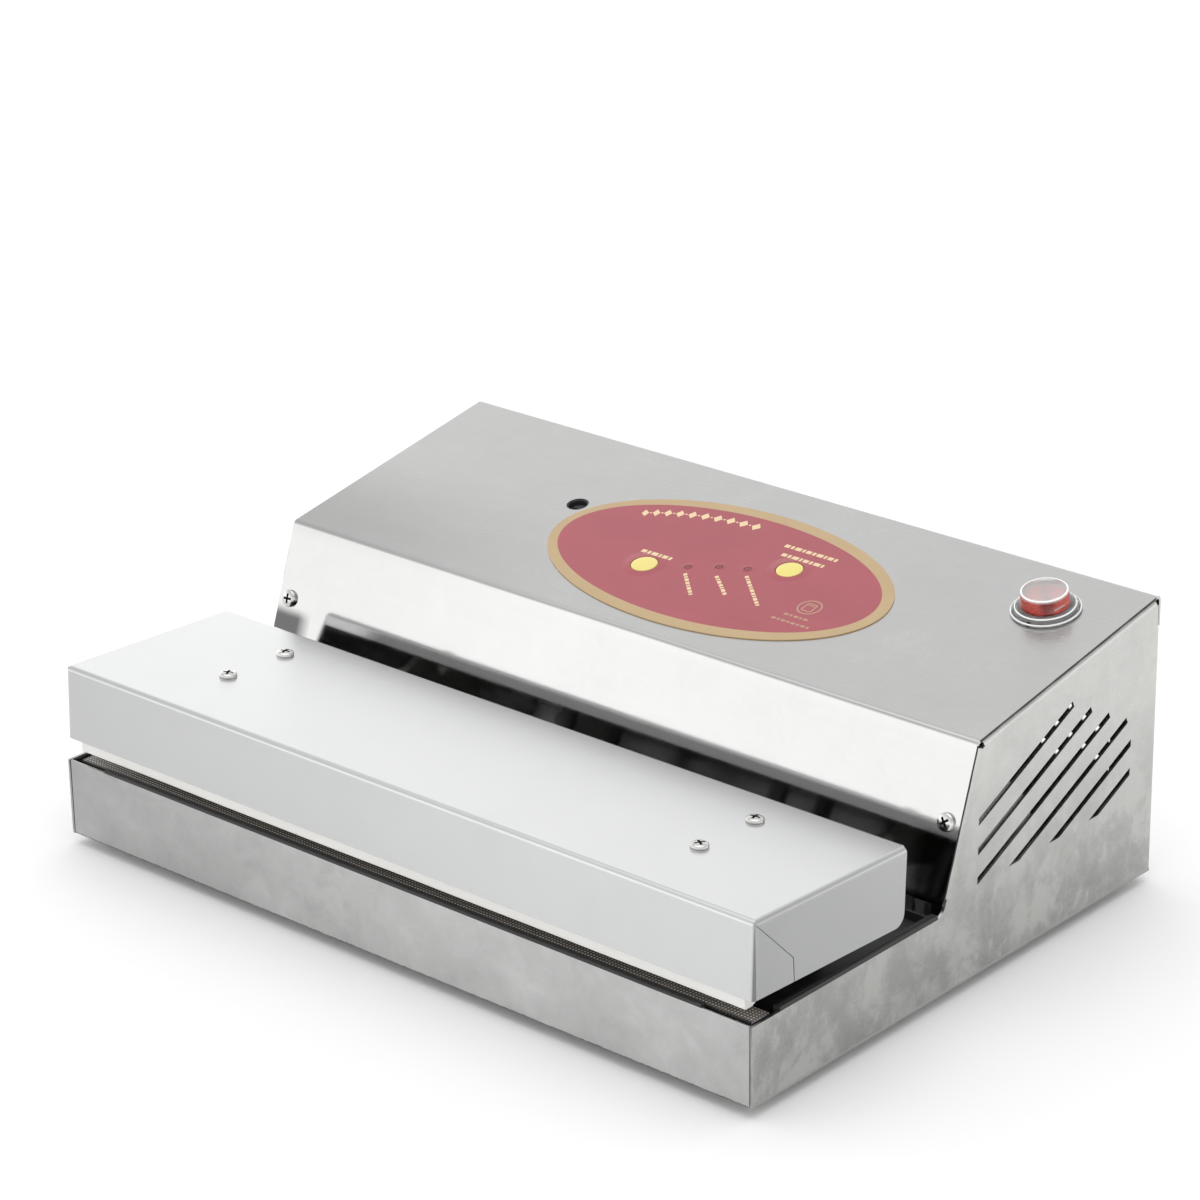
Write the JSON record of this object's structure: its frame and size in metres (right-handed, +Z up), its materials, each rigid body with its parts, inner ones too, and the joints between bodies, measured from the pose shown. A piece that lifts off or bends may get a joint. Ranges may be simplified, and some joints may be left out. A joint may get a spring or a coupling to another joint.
{
  "type": "external vacuum bag sealer",
  "caption": "Bar-type vacuum bag sealer: folded stainless case, sprung hinged pressing lid over a heated sealing bar, membrane keys and rocker switch.",
  "frame": {"origin": "centre of the bounding box's bottom face, on the surface that the feet stand on", "axes": "+X along the width, towards the side with the power switch; +Y from the lid towards the back; +Z up"},
  "size_m": [0.38, 0.27, 0.1365],
  "materials": {
    "panel_steel": "brushed stainless sheet, satin, with smudges",
    "cover_steel": "brushed stainless sheet, satin",
    "lid_steel": "fine brushed stainless sheet, bright satin",
    "bottom_steel": "plain stainless sheet",
    "screw_steel": "bright zinc-plated steel",
    "zinc_steel": "zinc-plated steel",
    "spring_steel": "spring steel",
    "shaft_steel": "ground steel",
    "pin_metal": "nickel-plated brass",
    "laminated_iron": "stacked laminations, varnished",
    "bar_aluminium": "extruded aluminium, satin",
    "dark_aluminium": "black anodised aluminium",
    "band_alloy": "nickel-chrome strip",
    "brass": "turned brass",
    "black_paint": "matt black paint",
    "black_rubber": "matt black rubber",
    "foot_rubber": "matt black rubber",
    "black_foam": "closed-cell black foam",
    "hose_rubber": "grey silicone hose",
    "white_silicone": "translucent white silicone",
    "tape_fabric": "glass-cloth tape coated with PTFE",
    "natural_plastic": "natural nylon",
    "black_plastic": "moulded black plastic",
    "spindle_plastic": "grey plastic",
    "board_green": "glass-fibre board",
    "coil_wrap": "varnished coil wrap",
    "wire_insulation": "wire insulation",
    "label_film": "printed polyester film, satin",
    "button_yellow": "printed polyester film, satin",
    "lens_plastic": "tinted plastic",
    "rocker_red": "translucent red plastic",
    "clear_cap": "clear moulded silicone"
  },
  "bodies": {
    "case": {"bottom_plate": "bottom_steel", "front_panel": "panel_steel", "left_side_panel": "panel_steel", "right_side_panel": "panel_steel", "rear_panel": "panel_steel", "top_cover": "cover_steel", "case_screws": "screw_steel", "feet": "foot_rubber", "chamber_tray": "black_paint", "trough_pan": "zinc_steel", "base_gasket": "black_foam", "vacuum_nipple": "brass", "seal_bar": "bar_aluminium", "seal_bar_posts": "natural_plastic", "heating_band": "band_alloy", "ptfe_tape": "tape_fabric", "band_terminals": "brass", "front_edge_trim": "black_rubber", "side_edge_trims": "black_rubber", "hinge_brackets": "zinc_steel", "hinge_bushes": "natural_plastic", "lid_springs": "spring_steel", "control_label": "label_film", "led_lenses": "lens_plastic", "control_board": "board_green", "board_standoffs": "natural_plastic", "board_parts": "black_plastic", "trimmer_bush": "black_plastic", "switch_body": "black_plastic", "switch_terminals": "brass", "switch_cap": "clear_cap", "pump_stator": "laminated_iron", "pump_end_plates": "bar_aluminium", "pump_head": "bar_aluminium", "pump_bracket": "zinc_steel", "pump_mounts": "black_rubber", "hoses": "hose_rubber", "valve_body": "brass", "valve_coil": "black_plastic", "vacuum_switch": "natural_plastic", "transformer_core": "laminated_iron", "transformer_coil": "coil_wrap", "transformer_bracket": "zinc_steel", "mains_inlet": "black_plastic", "inlet_pins": "pin_metal", "wires": "wire_insulation"},
    "lid": {"lid_cover": "lid_steel", "lid_screws": "screw_steel", "left_hinge_arm": "zinc_steel", "right_hinge_arm": "zinc_steel", "hinge_shaft": "shaft_steel", "silicone_bar": "white_silicone", "silicone_channel": "bar_aluminium", "pressure_plate": "dark_aluminium", "lid_gasket": "black_foam"},
    "pump_key": {"pump_button": "button_yellow"},
    "seal_key": {"seal_button": "button_yellow"},
    "trimmer": {"trimmer_spindle": "spindle_plastic"},
    "rocker": {"switch_rocker": "rocker_red"},
    "pump_shaft": {"pump_rotor": "shaft_steel"}
  },
  "joints": [
    {"name": "lid_hinge", "type": "hinge", "parent": "case", "child": "lid", "pos_m": [0, 0.001, 0.047], "axis": [-1, 0, 0], "range_deg": [-1.9, 25], "stiffness_Nm_per_rad": 12, "springref_deg": 3.78},
    {"name": "pump_button_press", "type": "slide", "parent": "case", "child": "pump_key", "axis": [0, 0.1796, -0.9837], "range_m": [0, 0.0006], "stiffness_N_per_m": 600, "springref_m": -0.001},
    {"name": "seal_button_press", "type": "slide", "parent": "case", "child": "seal_key", "axis": [0, 0.1796, -0.9837], "range_m": [0, 0.0006], "stiffness_N_per_m": 600, "springref_m": -0.001},
    {"name": "trimmer_turn", "type": "hinge", "parent": "case", "child": "trimmer", "pos_m": [-0.082, 0.07663, 0.12089], "axis": [0, -0.1796, 0.9837], "range_deg": [-135, 135]},
    {"name": "power_rocker", "type": "hinge", "parent": "case", "child": "rocker", "pos_m": [0.155, 0.09964, 0.12408], "axis": [0, -0.9837, -0.1796], "range_deg": [0, 20]},
    {"name": "pump_turn", "type": "hinge", "parent": "case", "child": "pump_shaft", "pos_m": [0.066, 0.07, 0.053], "axis": [1, 0, 0], "continuous": true}
  ]
}
